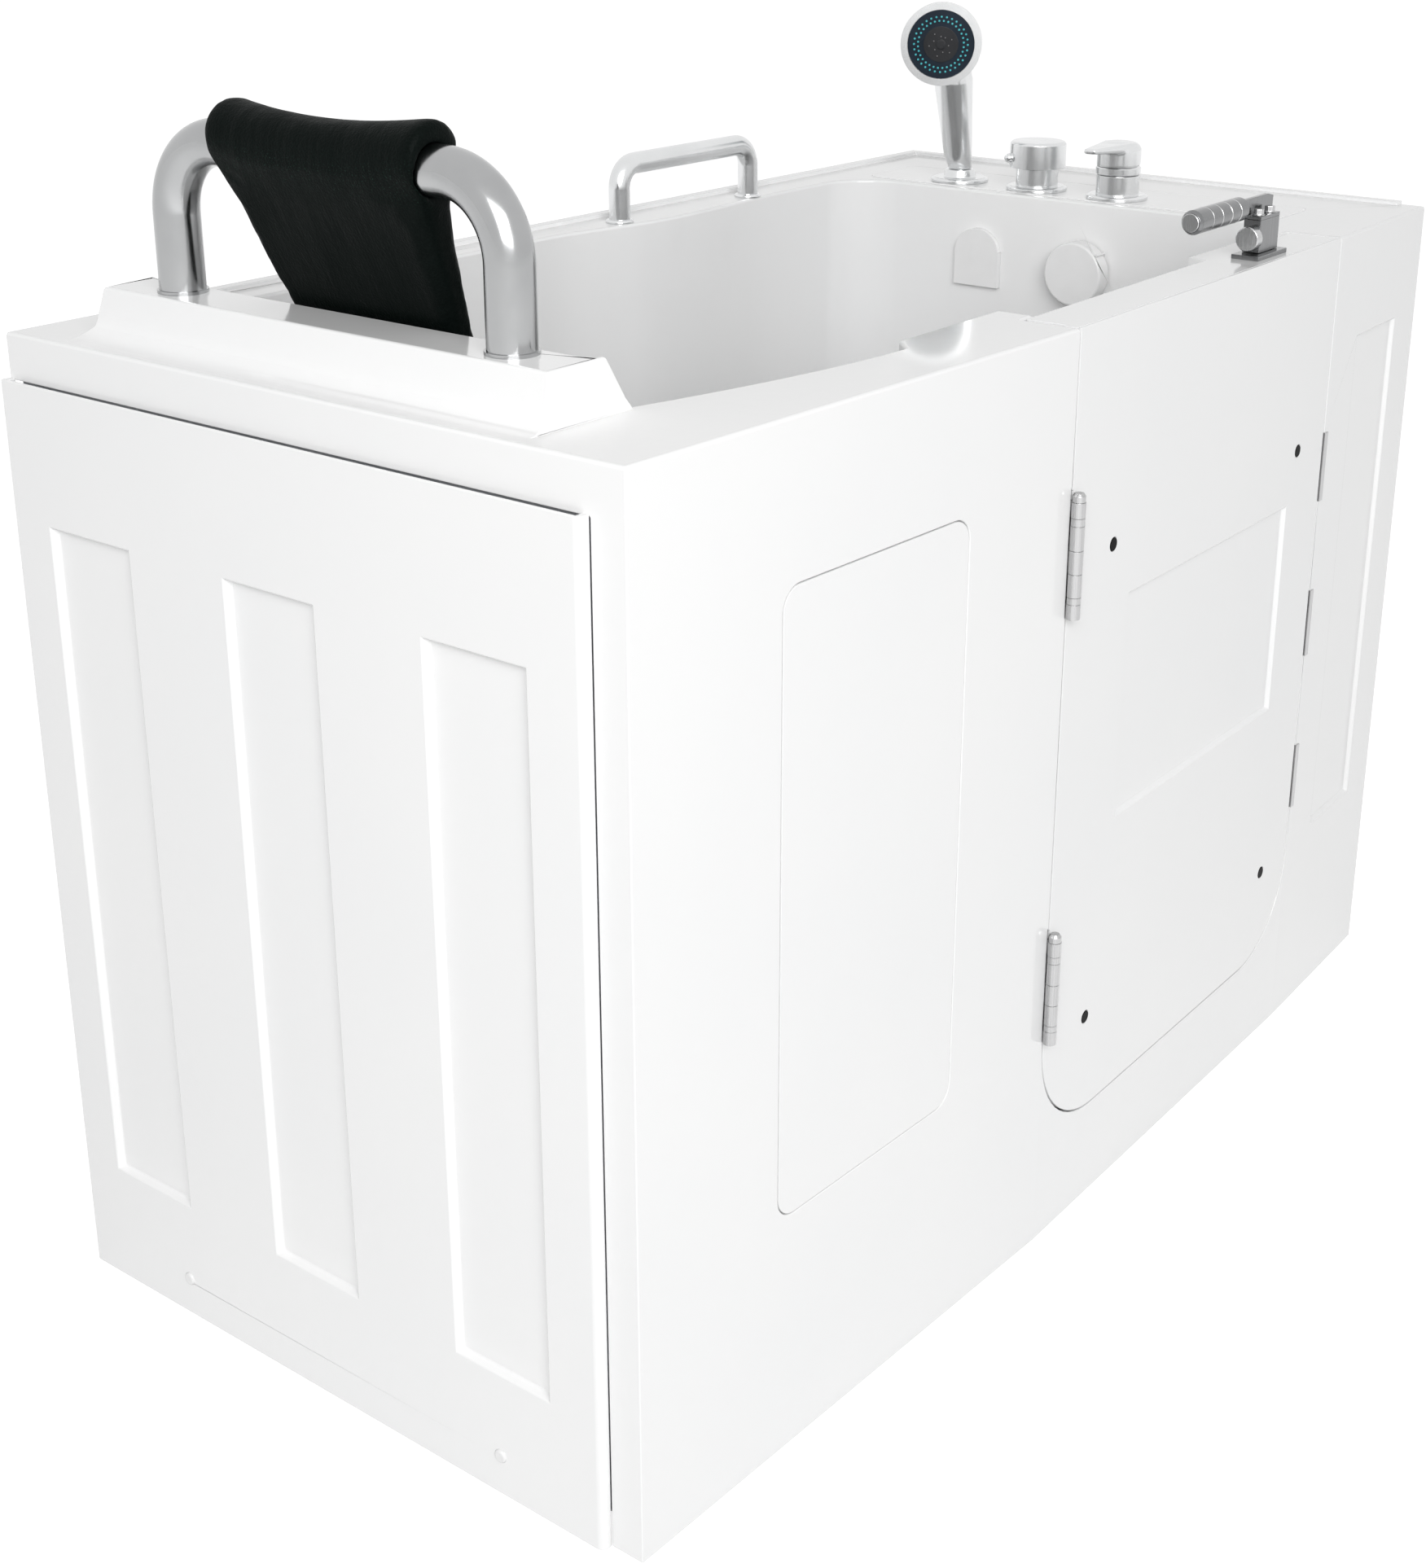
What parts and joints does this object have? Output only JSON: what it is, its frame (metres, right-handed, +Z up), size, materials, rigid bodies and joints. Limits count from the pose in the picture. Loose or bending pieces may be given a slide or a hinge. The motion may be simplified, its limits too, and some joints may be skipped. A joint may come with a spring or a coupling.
{
  "type": "walk-in bathtub with door",
  "caption": "Walk-in bathtub with an outward-swinging door, raised headrest bar with pad, grab bar, lever lock and deck-mounted taps with a hand shower.",
  "frame": {"origin": "middle of the whole box on the floor", "axes": "+X along the tub towards the foot end with the taps, -Y towards the door side, +Z up"},
  "size_m": [1.5378, 0.7944, 1.2485],
  "materials": {
    "gelcoat": "glossy white moulded shell",
    "chrome": "polished",
    "steel": "satin stainless",
    "frame_paint": "grey paint",
    "rubber": "matt",
    "vinyl": "grained black vinyl",
    "black_plastic": "matt",
    "nozzle_plate": "black plate with blue-green nozzles",
    "white_plastic": "glossy",
    "grey_plastic": "matt",
    "brass": "plain",
    "timber": "raw"
  },
  "bodies": {
    "tub": {"basin": "gelcoat", "deck": "gelcoat", "front_apron": "gelcoat", "door_frame": "gelcoat", "door_seal": "rubber", "head_end_panel": "gelcoat", "end_panel_screws": "white_plastic", "rail_front": "frame_paint", "rail_back": "frame_paint", "rail_head": "frame_paint", "rail_mid": "frame_paint", "rail_foot": "frame_paint", "post_head_front": "frame_paint", "post_head_back": "frame_paint", "post_foot_front": "frame_paint", "post_foot_back": "frame_paint", "floor_bearers": "timber", "seat_support": "timber", "foot_studs": "steel", "foot_pads": "rubber", "foot_locknuts": "steel", "hinge_leaf_frame": "steel", "hinge_pins": "steel", "hinge_bushings": "steel", "latch_keepers": "steel", "headrest_bar": "chrome", "headrest_nuts": "steel", "grab_bar": "chrome", "grab_bar_flanges": "chrome", "shower_holder": "chrome", "diverter_base": "chrome", "mixer_base": "chrome", "valve_nuts": "brass", "filler_spout": "white_plastic", "overflow_housing": "grey_plastic", "drain_body": "grey_plastic", "drain_strainer": "steel", "waste_pipe": "white_plastic"},
    "door": {"door_skin": "gelcoat", "door_pan": "gelcoat", "door_screw_caps": "black_plastic", "hinge_leaf_door": "steel", "lock_plate": "steel", "latch_guides": "grey_plastic"},
    "lock": {"lock_hub": "steel", "lock_bolts": "steel", "lock_arm": "steel", "lock_grip": "steel", "lock_cap": "steel", "latch_shaft": "steel"},
    "latch": {"latch_bar": "steel"},
    "access_cover": {"access_panel": "gelcoat"},
    "pad": {"headrest_pad": "vinyl"},
    "hand_shower": {"shower_handset": "chrome", "shower_face": "nozzle_plate"},
    "diverter": {"diverter_knob": "chrome"},
    "mixer": {"mixer_cartridge": "chrome"},
    "mixer_handle": {"mixer_lever": "chrome"},
    "drain_control": {"overflow_knob": "white_plastic"},
    "stopper": {"drain_stopper": "steel"}
  },
  "joints": [
    {"name": "door_swing", "type": "hinge", "parent": "tub", "child": "door", "pos_m": [-0.12196, -0.39007, 0.5], "axis": [0, 0, -1], "range_deg": [0, 110]},
    {"name": "lock_turn", "type": "hinge", "parent": "door", "child": "lock", "pos_m": [0.33962, -0.34835, 1.016], "axis": [0, 0, -1], "range_deg": [0, 90]},
    {"name": "latch_slide", "type": "slide", "parent": "door", "child": "latch", "axis": [0.9999, 0.0117, 0], "range_m": [0, 0.014]},
    {"name": "access_lift_off", "type": "slide", "parent": "tub", "child": "access_cover", "axis": [-0.0399, -0.9992, 0], "range_m": [0, 0.15]},
    {"name": "pad_tilt", "type": "hinge", "parent": "tub", "child": "pad", "pos_m": [-0.68455, 0.02123, 1.202], "axis": [0, -1, 0], "range_deg": [0, 50]},
    {"name": "shower_lift", "type": "slide", "parent": "tub", "child": "hand_shower", "axis": [0, 0, 1], "range_m": [0, 0.25]},
    {"name": "diverter_turn", "type": "hinge", "parent": "tub", "child": "diverter", "pos_m": [0.57995, 0.08123, 1.057], "axis": [0, 0, 1], "range_deg": [-60, 60]},
    {"name": "mixer_turn", "type": "hinge", "parent": "tub", "child": "mixer", "pos_m": [0.57995, -0.03578, 1.052], "axis": [0, 0, 1], "range_deg": [-45, 45]},
    {"name": "mixer_tilt", "type": "hinge", "parent": "mixer", "child": "mixer_handle", "pos_m": [0.57995, -0.03578, 1.061], "axis": [0, 1, 0], "range_deg": [0, 15]},
    {"name": "drain_control_turn", "type": "hinge", "parent": "tub", "child": "drain_control", "pos_m": [0.51995, -0.01878, 0.929], "axis": [1, 0, 0], "range_deg": [0, 90]},
    {"name": "stopper_lift", "type": "slide", "parent": "tub", "child": "stopper", "axis": [0, 0, 1], "range_m": [0, 0.01]}
  ],
  "couplings": [
    {"joint": "latch_slide", "follows": "lock_turn", "m_per_rad": 0.0089127},
    {"joint": "stopper_lift", "follows": "drain_control_turn", "m_per_rad": 0.0063662}
  ]
}
